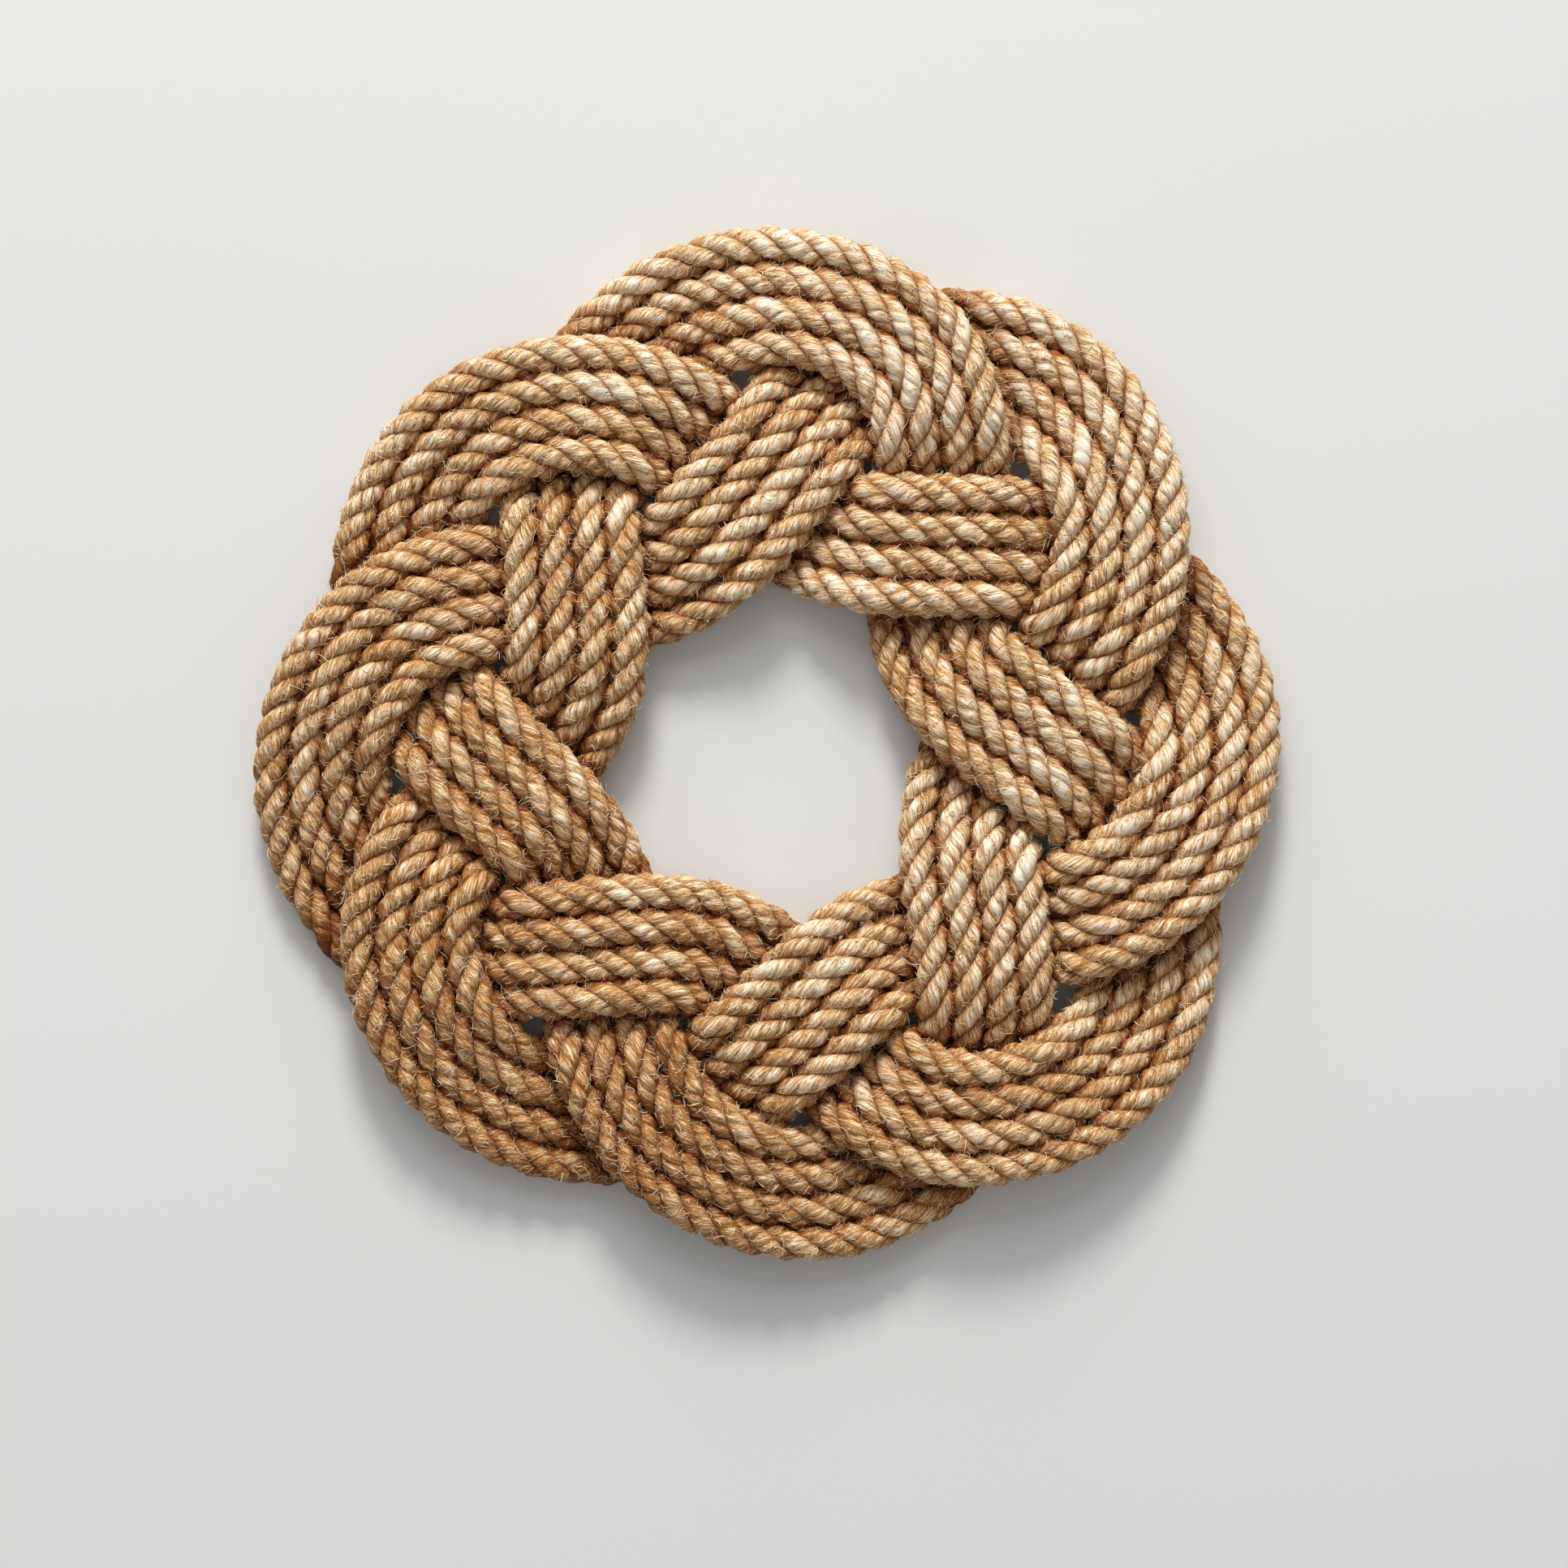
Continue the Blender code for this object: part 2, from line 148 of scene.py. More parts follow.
# Relief comes back beside a pressed place and is calmer in a crease, fibres grow where the skin
# is open, skin near another gets painted shade, darker and browner, and all of it keeps clear of the
# floor
FREE_PACE = 2.4
CREASE_CALM = 0.4
OPEN_SHARE = 0.9
VALLEY_REACH = 0.0021
FLOOR_GAP = 0.00005

# Painted shade: low rope beside a rope that crosses over it is darker and browner on its upper side
CROSSING_SHADE_REACH = 0.016
CROSSING_SHADE_DROP = 0.007
CROSSING_SHADE_SOFTENING = 4
CROSSING_SHADE_NONE = 0.24
CROSSING_SHADE_RANGE = 0.40
CROSSING_SHADE_TILT = 0.35
CROSSING_SHADE_TILT_RANGE = 0.5

# Loose fibres: where they grow, how they bend and rise, and how much they differ
FIBRE_TRIES = 8
FIBRE_END_RINGS = 60
FIBRE_CROWN_SHARE = 0.4
FIBRE_SIDES = 3
FIBRE_CURL = 0.8
FIBRE_WAVE = 0.7
FIBRE_WAVES = 3.5
FIBRE_TURN_RADIUS = 0.45 * ROPE
FIBRE_GAP = 0.00004
FIBRE_RISE = 1.4
FIBRE_TAPER = 0.65
FIBRE_SHORTEST = 0.45
FIBRE_SIZES = (0.65, 1.35)
FIBRE_TONES = 0.22

# Each kind of fibre: its meshes and the fibres in one, their lengths, how far they stand off, their
# radius, how much their headings differ, how pale they are, and the rings of each
FIBRE_KINDS = [
    {"name": "lying_fibres", "meshes": 5, "seed": 100, "count": 7600, "lengths": (0.0010, 0.0036),
     "lifts": (0.0001, 0.0006), "radius": 0.00008, "spread": 1.0, "paleness": 0.80, "rings": 5},
    {"name": "loose_fibres", "meshes": 3, "seed": 200, "count": 5200, "lengths": (0.0014, 0.0050),
     "lifts": (0.0004, 0.0015), "radius": 0.00009, "spread": 1.6, "paleness": 0.92, "rings": 7},
]

# Margins in the pieces' own maps
MAP_MARGIN = 0.003
STRIP_MARGIN = 0.02
CELL_MARGIN = 0.2

# How much of their finer layers the materials' noises keep
NOISE_ROUGHNESS = 0.55

# The studio, and the camera with the part of the floor that its picture covers
FLOOR_SIZE = 6.0
CAMERA_HEIGHT = 1.1
CAMERA_AIM_HEIGHT = 0.008
SENSOR_WIDTH = 36.0
FRAME_WIDTH = 0.368
FRAME_CENTRE = (0.0040, -0.0081)


def smooth(value):
    """0 to 1 with a flat start and a flat end."""
    value = np.clip(value, 0.0, 1.0)
    return value * value * (3 - 2 * value)


def unit(vectors):
    """Vectors along the last axis, each made one long."""
    return vectors / np.linalg.norm(vectors, axis=-1, keepdims=True)


def length_along(points):
    """Distance of each point of an open line from its start."""
    return np.concatenate([[0.0], np.cumsum(np.linalg.norm(np.diff(points, axis=0), axis=1))])


def tree_of(points):
    """A search tree of points."""
    tree = kdtree.KDTree(len(points))
    for number, place in enumerate(points):
        tree.insert(Vector(place), number)
    tree.balance()
    return tree


def hashed(x, y, seed):
    """A number from 0 to 1 for each lattice place, with no pattern from place to place."""
    mixed_up = np.sin(x * 127.1 + y * 311.7 + seed * 74.7) * 43758.5453
    return mixed_up - np.floor(mixed_up)


def noise(x, y, seed):
    """Smooth noise from -1 to 1 at places given in cells."""
    left = np.floor(x)
    low = np.floor(y)
    across = smooth(x - left)
    up = smooth(y - low)
    bottom = hashed(left, low, seed) * (1 - across) + hashed(left + 1, low, seed) * across
    top = hashed(left, low + 1, seed) * (1 - across) + hashed(left + 1, low + 1, seed) * across
    return 2 * (bottom * (1 - up) + top * up) - 1


def uneven(run, size, cell, seed, row=0.0):
    """Noise of a size along a run, with cells of one length, and different from row to row."""
    return size * noise(run / cell, row + np.zeros_like(run), seed)


def closed_spline(corners, step):
    """Points, about a step apart, of the smooth closed curve through corners."""
    count = len(corners)
    chords = np.linalg.norm(np.roll(corners, -1, axis=0) - corners, axis=1)
    matrix = np.zeros((count, count))
    right = np.zeros((count, 2))
    for i in range(count):
        before = chords[i - 1]
        after = chords[i]
        matrix[i, i - 1] += before
        matrix[i, i] += 2 * (before + after)
        matrix[i, (i + 1) % count] += after
        slope_after = (corners[(i + 1) % count] - corners[i]) / after
        slope_before = (corners[i] - corners[i - 1]) / before
        right[i] = 6 * (slope_after - slope_before)
    bend = np.linalg.solve(matrix, right)
    points = []
    for i in range(count):
        j = (i + 1) % count
        chord = chords[i]
        along = np.linspace(0, chord, round(chord / step), endpoint=False)[:, None]
        left = chord - along
        curve = (bend[i] * left ** 3 + bend[j] * along ** 3) / (6 * chord)
        line_start = (corners[i] / chord - bend[i] * chord / 6) * left
        line_end = (corners[j] / chord - bend[j] * chord / 6) * along
        points.append(curve + line_start + line_end)
    return np.vstack(points)


def left_normals(points):
    """Unit normals of a closed curve, on the left of its travel."""
    ahead = np.roll(points, -1, axis=0) - np.roll(points, 1, axis=0)
    ahead /= np.linalg.norm(ahead, axis=1)[:, None]
    return np.stack([-ahead[:, 1], ahead[:, 0]], axis=1)


def find_visits(points):
    """Each passage of the band through one of its crossings: its index and the other band's."""
    step = np.roll(points, -1, axis=0) - points
    apart = points[None, :, :] - points[:, None, :]
    turn = step[:, None, 0] * step[None, :, 1] - step[:, None, 1] * step[None, :, 0]
    turn[np.abs(turn) < 1e-15] = np.inf
    own = (apart[:, :, 0] * step[None, :, 1] - apart[:, :, 1] * step[None, :, 0]) / turn
    other = (apart[:, :, 0] * step[:, None, 1] - apart[:, :, 1] * step[:, None, 0]) / turn
    meets = (own >= 0) & (own < 1) & (other >= 0) & (other < 1)
    np.fill_diagonal(meets, False)
    return [(int(i), int(j)) for i, j in np.argwhere(meets)]


class Band:
    """The middle line of the four lanes, closed, with its crossings in order."""

    def __init__(self):
        corners = np.array([corner for bight in ROUTE for corner in bight]) * LANE_PITCH
        self.points = closed_spline(corners, ROUTE_STEP)
        self.normals = left_normals(self.points)
        reach = np.linalg.norm(self.points, axis=1)
        self.pitches = np.interp(reach, [INNER_REACH, OUTER_REACH],
                                 [LANE_PITCH + INNER_EASE, LANE_PITCH])
        steps = np.linalg.norm(np.roll(self.points, -1, axis=0) - self.points, axis=1)
        self.length = float(steps.sum())
        self.travel = np.concatenate([[0.0], np.cumsum(steps)[:-1]])
        self.visits = find_visits(self.points)
        self.seam = self.visits[-1][0]

    def seam_slant(self):
        """Travel along the band, for one lane outward, of the crossing that hides the seam."""
        own, other = self.visits[-1]
        out = self.normals[own]
        ahead = out[1], -out[0]
        across = self.normals[other][1], -self.normals[other][0]
        lean = out[0] * across[1] - out[1] * across[0]
        return -lean / (ahead[0] * across[1] - ahead[1] * across[0]) * self.pitches[own]


def lay_rounds(band):
    """The rope's flat line through its four rounds, and the steps at its start and its finish."""
    count = len(band.points)
    slant = band.seam_slant()
    steps = np.arange(band.seam, band.seam + PASSES * count + 1)
    on_band = steps % count
    travel = band.travel[on_band] + (steps // count) * band.length
    travel = travel - travel[0]
    lanes = np.full(len(steps), -1.0)
    for passage in range(PASSES):
        since = travel - passage * band.length - slant * (HALF_BAND + 0.5 - passage)
        lanes += smooth((since + SHIFT_BEFORE) / (SHIFT_BEFORE + SHIFT_AFTER))
    aside = (HALF_BAND - lanes) * band.pitches[on_band]
    flat = band.points[on_band] + band.normals[on_band] * aside[:, None]
    first = int(np.argmin(np.abs(travel - START_INSET - slant * (HALF_BAND + 1))))
    goal = PASSES * band.length - FINISH_INSET + slant * (HALF_BAND - PASSES + 1)
    last = int(np.argmin(np.abs(travel - goal)))
    return flat, first, last


def find_crossings(band, flat, first, last):
    """Stretches that lie across the band's other ropes: first step, last step, over or under."""
    count = len(band.points)
    window = round(SEARCH_REACH / ROUTE_STEP)
    crossings = []
    for rank, (own, other) in enumerate(band.visits):
        near = np.arange(other - window, other + window + 1) % count
        for base in range(own - band.seam, len(flat) + count, count):
            low = max(first, base - window)
            high = min(last, base + window)
            if high <= low:
                continue
            here = flat[low:high + 1]
            apart = here[:, None, :] - band.points[near][None, :, :]
            nearest = near[np.argmin((apart ** 2).sum(axis=2), axis=1)]
            away = ((here - band.points[nearest]) * band.normals[nearest]).sum(axis=1)
            inside = np.abs(away) <= HALF_BAND * band.pitches[nearest]
            middle = int(np.argmin(np.abs(away)))
            if not inside[middle]:
                continue
            before = np.flatnonzero(~inside[:middle])
            after = np.flatnonzero(~inside[middle:])
            start = int(before[-1]) + 1 if len(before) else 0
            end = middle + int(after[0]) - 1 if len(after) else len(inside) - 1
            crossings.append((low + start, low + end, rank % 2 == 0))
    return sorted(crossings)


def find_heights(flat, crossings):
    """Height of the rope's middle: level over and under the other ropes, eased between."""
    run = length_along(flat)
    height = np.zeros(len(flat))
    for start, end, over in crossings:
        height[start:end + 1] = HIGH if over else LOW
    for before, after in zip(crossings, crossings[1:]):
        leave = before[1]
        arrive = after[0]
        part = (run[leave:arrive + 1] - run[leave]) / (run[arrive] - run[leave])
        ease = (1 - np.cos(math.pi * part)) / 2
        height[leave:arrive + 1] = height[leave] + (height[arrive] - height[leave]) * ease
    return height


def push_apart(places):
    """The rope is round and stiff: stretches that come too near push each other away."""
    run = length_along(places)
    tree = tree_of(places)
    pairs = []
    for number, place in enumerate(places):
        for _, other, _ in tree.find_range(Vector(place), PUSH_SEARCH):
            if run[other] - run[number] > OWN_REACH:
                pairs.append((number, other))
    left, right = np.array(pairs).T
    shift = np.zeros_like(places)
    for _ in range(PUSH_ROUNDS):
        now = places + shift
        apart = now[right] - now[left]
        between = np.linalg.norm(apart, axis=1)
        push = np.clip(PUSH_DISTANCE - between, 0, None) * PUSH_SHARE
        move = apart * (push / between)[:, None]
        total = np.zeros_like(places)
        count = np.ones(len(places))
        for side, sign in ((right, 1.0), (left, -1.0)):
            np.add.at(total, side, sign * move)
            np.add.at(count, side, push > 0)
        shift += total / np.sqrt(count)[:, None]
        for _ in range(2):
            shift[1:-1] += ((shift[:-2] + shift[2:]) / 2 - shift[1:-1]) / 2
        shift[:, 2] = np.maximum(shift[:, 2], LOW - places[:, 2])
    return places + shift


def lean_in(places):
    """The turns round a small gap stray a little into it."""
    moved = places.copy()
    for x, y, most in LEANS:
        apart = np.array([x, y]) - places[:, :2]
        reach = np.linalg.norm(apart, axis=1)
        share = smooth(reach / LEAN_CORE) * smooth(1 - reach / LEAN_REACH)
        moved[:, :2] += apart / np.maximum(reach, 1e-6)[:, None] * (most * share)[:, None]
    return moved


def wander(places):
    """Small sideways and upward strays, as in a knot worked by hand."""
    cells = length_along(places) / WANDER_LENGTH
    row = np.zeros_like(cells)
    side = unit(np.cross(UP, unit(np.gradient(places, axis=0))))
    strayed = places + side * (WANDER_SIDE * noise(cells, row, 31))[:, None]
    strayed[:, 2] += WANDER_UP * noise(cells * WANDER_UP_PACE, row, 37)
    strayed[:, 2] = np.maximum(strayed[:, 2], LOW)
    return strayed


def rope_path():
    """Middle of the rope from its start to its finish, and the place that became the mat's middle."""
    band = Band()
    flat, first, last = lay_rounds(band)
    height = find_heights(flat, find_crossings(band, flat, first, last))
    settled = push_apart(np.column_stack([flat, height])[first:last + 1])
    middle = (settled[:, :2].min(axis=0) + settled[:, :2].max(axis=0)) / 2
    settled[:, :2] -= middle
    return wander(lean_in(settled)), middle


class Whipping:
    """Where a whipping lies: its middle, its axis to the rope's tip, half its length, its radius."""

    def __init__(self, name, towards):
        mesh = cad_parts[name].data
        points = np.empty(len(mesh.vertices) * 3)
        mesh.vertices.foreach_get("co", points)
        points = points.reshape(-1, 3)
        self.middle = (points.min(axis=0) + points.max(axis=0)) / 2
        spread, ways = np.linalg.eigh(np.cov((points - self.middle).T))
        odd = 0 if spread[1] - spread[0] > spread[2] - spread[1] else 2
        axis = ways[:, odd]
        self.axis = axis * np.sign(axis @ towards)
        along = (points - self.middle) @ self.axis
        self.half = (along.max() - along.min()) / 2
        away = points - self.middle - along[:, None] * self.axis
        self.radius = np.linalg.norm(away, axis=1).max()


def with_ends(line, whippings):
    """The rope's line, with each end led through the middle of its whipping to its tip."""
    for whipping in whippings:
        line = line[::-1]
        enter = whipping.middle - whipping.axis * whipping.half
        before = (enter - line) @ whipping.axis
        near = np.linalg.norm(line - enter, axis=1) < 3 * END_BEND
        last = int(np.flatnonzero(near & (before > END_BEND))[-1])
        kept = line[:last + 1]
        gap = np.linalg.norm(enter - kept[-1])
        leave = unit(kept[-1] - kept[-2]) * gap
        arrive = whipping.axis * gap
        t = np.linspace(0, 1, round(gap / ROUTE_STEP) + 1)[1:, None]
        bend = ((2 * t ** 3 - 3 * t ** 2 + 1) * kept[-1] + (t ** 3 - 2 * t ** 2 + t) * leave
                + (3 * t ** 2 - 2 * t ** 3) * enter + (t ** 3 - t ** 2) * arrive)
        rest = 2 * whipping.half + TIP_LENGTH
        straight = np.linspace(0, rest, round(rest / ROUTE_STEP) + 1)[1:, None] * whipping.axis
        line = np.vstack([kept, bend, enter + straight])
    return line


def end_thickness(run, whippings):
    """The rope's thickness along its run: narrowed where the twine grips its two ends."""
    from_end = np.minimum(run, run[-1] - run)
    gripped = 2 * whippings[0].half + TIP_LENGTH
    return NECK_SHARE + (1 - NECK_SHARE) * smooth((from_end - gripped) / NECK_LENGTH)


def evenly(points, step):
    """The smooth line through points, with a point at every step of its length, and its run."""
    padded = np.vstack([2 * points[0] - points[1], points, 2 * points[-1] - points[-2]])
    t = (np.arange(LINE_PARTS) / LINE_PARTS)[None, :, None]
    p0, p1, p2, p3 = (padded[k:len(padded) - 3 + k][:, None, :] for k in range(4))
    curve = 0.5 * (2 * p1 + (p2 - p0) * t + (2 * p0 - 5 * p1 + 4 * p2 - p3) * t ** 2
                   + (3 * p1 - p0 - 3 * p2 + p3) * t ** 3)
    fine = np.vstack([curve.reshape(-1, 3), points[-1:]])
    run = length_along(fine)
    goals = np.linspace(0, run[-1], round(run[-1] / step) + 1)
    return np.column_stack([np.interp(goals, run, fine[:, k]) for k in range(3)]), goals


def press_limits(places, run, outward):
    """How far the rope's skin can reach each way before another stretch, and before the floor."""
    limits = np.full(outward.shape[:2], PRESS_NONE)
    down = -outward[:, :, 2]
    floor = np.where(down > 0, places[:, 2][:, None] / np.maximum(down, 1e-3), PRESS_NONE)
    picked = np.arange(0, len(places), PRESS_STEP)
    points = places[picked]
    tree = tree_of(points)
    for number, place in enumerate(points):
        near = [other for _, other, _ in tree.find_range(Vector(place), PRESS_REACH)
                if abs(run[picked[other]] - run[picked[number]]) > OWN_REACH]
        if not near:
            continue
        rings = slice(number * PRESS_STEP, min((number + 1) * PRESS_STEP, len(places)))
        apart = points[near][None, :, :] - places[rings][:, None, :]
        squared = (apart ** 2).sum(axis=2)
        towards = outward[rings] @ apart.transpose(0, 2, 1)
        reach = np.where(towards > 0, squared[:, None, :] / 2 / np.maximum(towards, 1e-6), PRESS_NONE)
        limits[rings] = np.minimum(reach.min(axis=2), PRESS_NONE)
    return limits + PRESS_OVERLAP, floor + PRESS_OVERLAP


def painted_crossing_shade(places):
    """How much of each stretch lies low beside a stretch that crosses over it, from 0 to 1, for
    painted shade.
    """
    picked = np.arange(0, len(places), PRESS_STEP)
    points = places[picked]
    tree = tree_of(points)
    found = np.empty(len(points))
    for number, place in enumerate(points):
        near = [other for _, other, _ in tree.find_range(Vector(place), CROSSING_SHADE_REACH)]
        drops = np.clip(points[near, 2] - place[2], 0, CROSSING_SHADE_DROP) / CROSSING_SHADE_DROP
        apart = np.linalg.norm(points[near, :2] - place[:2], axis=1) / CROSSING_SHADE_REACH
        found[number] = (drops * np.clip(1 - apart, 0, 1)).max()
    span = 2 * CROSSING_SHADE_SOFTENING + 1
    padded = np.pad(found, CROSSING_SHADE_SOFTENING, mode="edge")
    found = np.convolve(padded, np.ones(span) / span, mode="valid")
    found = np.interp(np.arange(len(places)), picked, found)
    return smooth((found - CROSSING_SHADE_NONE) / CROSSING_SHADE_RANGE)


class Skin:
    """The rope's surface: rings of points whose columns follow the strands round the rope."""

    def __init__(self, places, run, thickness):
        self.places = places
        self.run = run
        ahead = unit(np.gradient(places, axis=0))
        self.side = unit(np.cross(UP, ahead))
        self.up = np.cross(ahead, self.side)
        self.turn = (2 * math.pi * run / LAY + uneven(run * MM, 0.8, 55, 3)
                     + uneven(run * MM, 0.22, 13, 41))
        around = np.arange(COLUMNS) / COLUMNS * 2 * math.pi
        rings = np.arange(len(places))[:, None]
        outward = self.outward_at(rings, around[None, :] + self.turn[:, None])
        mm = np.repeat((run * MM)[:, None], COLUMNS, axis=1)
        pitch = 2 * math.pi / STRANDS
        strand = np.floor(around / pitch)
        from_crown = (around - (strand + 0.5) * pitch) / (pitch / 2)
        crease = np.abs(from_crown)[None, :] ** CREASE_ROUNDING * np.ones_like(mm)
        between = np.floor(around / pitch + 0.5)[None, :] % STRANDS
        strand = strand[None, :] * np.ones_like(mm)
        depth = CREASE_DEPTH * (0.90 + uneven(mm, 0.30, 11, 43, between * 5.3))
        fat = 1 + uneven(mm, 0.06, 13, 5, strand * 7.3) + uneven(mm, 0.02, 35, 7)
        radius = ROPE / 2 * fat * thickness[:, None] * (1 - depth * crease)
        self.looks = {"crease": crease}
        reach, free = self.press(radius, outward, thickness)
        # Painted shade: the upper side of low rope beside a crossing, darker and browner as its
        # shadow
        self.looks["under"] = (painted_crossing_shade(places)[:, None]
                               * smooth((outward[:, :, 2] + CROSSING_SHADE_TILT) / CROSSING_SHADE_TILT_RANGE))
        # Painted light: faces that look up are painted paler, as light from above falls on them
        self.looks["top"] = np.clip(outward[:, :, 2], 0, 1)
        relief = self.relief(mm, strand, from_crown)
        relief *= free * (1 - CREASE_CALM * crease) * thickness[:, None]
        self.looks["tone"] = uneven(mm, 1, 30, 29, strand * 5.7)
        self.rings = places[:, None, :] + outward * (reach + relief / MM)[:, :, None]
        self.rings[:, :, 2] = np.maximum(self.rings[:, :, 2], FLOOR_GAP)

    def press(self, radius, outward, thickness):
        """How far the skin reaches where ropes and the floor press on it, and how free it is."""
        beside, floor = press_limits(self.places, self.run, outward)
        limits = np.minimum(beside, floor)
        blend = np.clip(0.5 + 0.5 * (limits - radius) / PRESS_ROUNDING, 0, 1)
        pressed = limits * (1 - blend) + radius * blend - PRESS_ROUNDING * blend * (1 - blend)
        low = smooth((PRESS_LOW - outward[:, :, 2]) / PRESS_LOW_RANGE)
        gap = np.maximum(beside - pressed, 0)
        filled = (gap / (1 + PRESS_FILL_LOW * low) - PRESS_FULL) / (PRESS_FILL - PRESS_FULL)
        fill = (1 - smooth(filled)) * (thickness[:, None] > PRESS_THICKNESS)
        self.open = blend > OPEN_SHARE
        # Painted shade: skin near the next turn is marked for darker, browner colour
        self.looks["valley"] = smooth(1 - (limits - radius) / VALLEY_REACH)
        free = np.clip((blend - 0.5) * FREE_PACE, 0, 1)
        return np.minimum(pressed + gap * fill, floor), free

    def relief(self, mm, strand, from_crown):
        """How high the yarns and fibres stand on the strands, in millimetres."""
        rolled = np.arcsin(ROLL * from_crown) / math.asin(ROLL)
        across = from_crown * (1 - YARN_ROUNDING) + rolled * YARN_ROUNDING
        across = (ROPE / 2 * MM * math.pi / STRANDS * across)[None, :]
        yarns = across + YARN_TILT * mm
        fibres = across + FIBRE_TILT * mm
        phase = (yarns + 1.10 * noise(yarns / 4.7, mm / 9 + 5 * strand, 11)) / YARN_WIDTH
        dome = 1 - np.abs(2 * (phase - np.floor(phase)) - 1) ** YARN_BULGE
        clear = np.clip(0.85 + uneven(mm, 0.60, 5, 13, strand * 3.1 + yarns / 7), 0.30, 1.30)
        self.grain = np.stack([fibres, mm, strand * 13.7 + 2.0], axis=-1)
        self.looks["yarns"] = phase
        self.looks["show"] = clear
        return (YARN_DEPTH * (dome - YARN_LEVEL) * clear + 0.10 * noise(fibres / 0.7, mm / 4, 17)
                + 0.14 * noise(yarns / 1.9 + 40 * strand, mm / 2.6, 19))

    def outward_at(self, ring, angle):
        """Ways out of the rope at angles round its rings."""
        return np.cos(angle)[..., None] * self.side[ring] + np.sin(angle)[..., None] * self.up[ring]

    def column_at(self, ring, angle):
        """The column, with its fraction, that lies at an angle round a ring."""
        return ((angle - self.turn[ring]) / (2 * math.pi) * COLUMNS) % COLUMNS

    def value_at(self, values, ring, angle):
        """A value of the skin at places between the rings, each at an angle round the rope."""
        ring = ring.astype(int)
        return values[ring, self.column_at(ring, angle).astype(int) % COLUMNS]

    def spots(self, ring, angle):
        """Points on the skin between the rings, each at an angle round the rope, and ways out."""
        low = np.clip(np.floor(ring).astype(int), 0, len(self.places) - 2)
        part = np.clip(ring - low, 0, 1)[..., None]
        found = 0
        for rings, share in ((low, 1 - part), (low + 1, part)):
            column = self.column_at(rings, angle)
            left = np.floor(column).astype(int) % COLUMNS
            across = (column - np.floor(column))[..., None]
            here = self.rings[rings, left] * (1 - across)
            here = here + self.rings[rings, (left + 1) % COLUMNS] * across
            found = found + here * share
        return found, self.outward_at(low, angle)


def mesh_from(name, places, face_groups):
    """A smooth mesh from points and groups of faces, each group an array of corner numbers."""
    mesh = bpy.data.meshes.new(name)
    corners = np.concatenate([group.ravel() for group in face_groups])
    sizes = np.concatenate([np.full(len(group), group.shape[1]) for group in face_groups])
    starts = np.cumsum(sizes) - sizes
    mesh.vertices.add(len(places))
    mesh.vertices.foreach_set("co", places.astype(np.float32).ravel())
    mesh.loops.add(len(corners))
    mesh.loops.foreach_set("vertex_index", corners.astype(np.int32))
    mesh.polygons.add(len(starts))
    mesh.polygons.foreach_set("loop_start", starts.astype(np.int32))
    mesh.update(calc_edges=True)
    mesh.shade_smooth()
    return mesh


def add_piece(name, mesh, material, node=None):
    """A shown piece that rides with the mat's one body and takes its finish from a slot."""
    mesh.materials.append(material)
    piece = bpy.data.objects.new(name, mesh)
    bpy.context.scene.collection.objects.link(piece)
    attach(piece, "root")
    if node:
        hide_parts(node)


def write_attribute(mesh, name, values, kind="FLOAT"):
    """Store one value for each point of a mesh."""
    made = mesh.attributes.new(name, kind, "POINT")
    field = "vector" if kind == "FLOAT_VECTOR" else "value"
    made.data.foreach_set(field, np.ascontiguousarray(values, dtype=np.float32).ravel())


def tube_faces(count, columns):
    """Faces of a closed tube of rings: its sides, ring by ring, and its two end caps."""
    ring = np.arange(count - 1)[:, None] * columns
    column = np.arange(columns)
    after = (column + 1) % columns
    sides = np.stack([ring + column, ring + after, ring + columns + after, ring + columns + column],
                     axis=-1)
    caps = np.stack([column[::-1], (count - 1) * columns + column])
    return sides.reshape(-1, 4), caps


def write_map(mesh, uv):
    """The mesh's own map, given for its first faces; the end caps stay in the map's corner."""
    layer = mesh.uv_layers.new(name="OFBake")
    every = np.zeros((len(mesh.loops), 2), dtype=np.float32)
    every[:len(uv)] = uv
    layer.data.foreach_set("uv", every.ravel())


def strip_map(count, columns, length, width):
    """A map of a tube as level strips, each a stretch of the unrolled tube."""
    strips = max(1, round(math.sqrt(length / width)))
    per_strip = math.ceil((count - 1) / strips)
    ring = np.repeat(np.arange(count - 1), columns)
    column = np.tile(np.arange(columns), count - 1)
    strip = ring // per_strip
    u = [MAP_MARGIN + (1 - 2 * MAP_MARGIN) * (ring - strip * per_strip + end) / per_strip
         for end in (0, 1)]
    v = [(strip + STRIP_MARGIN + (1 - 2 * STRIP_MARGIN) * (column + end) / columns) / strips
         for end in (0, 1)]
    corners = [np.column_stack([u[a], v[b]]) for a, b in ((0, 0), (0, 1), (1, 1), (1, 0))]
    return np.stack(corners, axis=1).reshape(-1, 2)


def cell_map(count, faces):
    """A map of many small tubes: each has a square cell, and every one of its sides fills that."""
    cells = math.ceil(math.sqrt(count))
    corner = np.stack([np.arange(count) % cells, np.arange(count) // cells], axis=1) / cells
    near = CELL_MARGIN
    far = 1 - CELL_MARGIN
    square = np.array([(near, near), (near, far), (far, far), (far, near)]) / cells
    return (corner[:, None, None, :] + square).repeat(faces, axis=1).reshape(-1, 2)


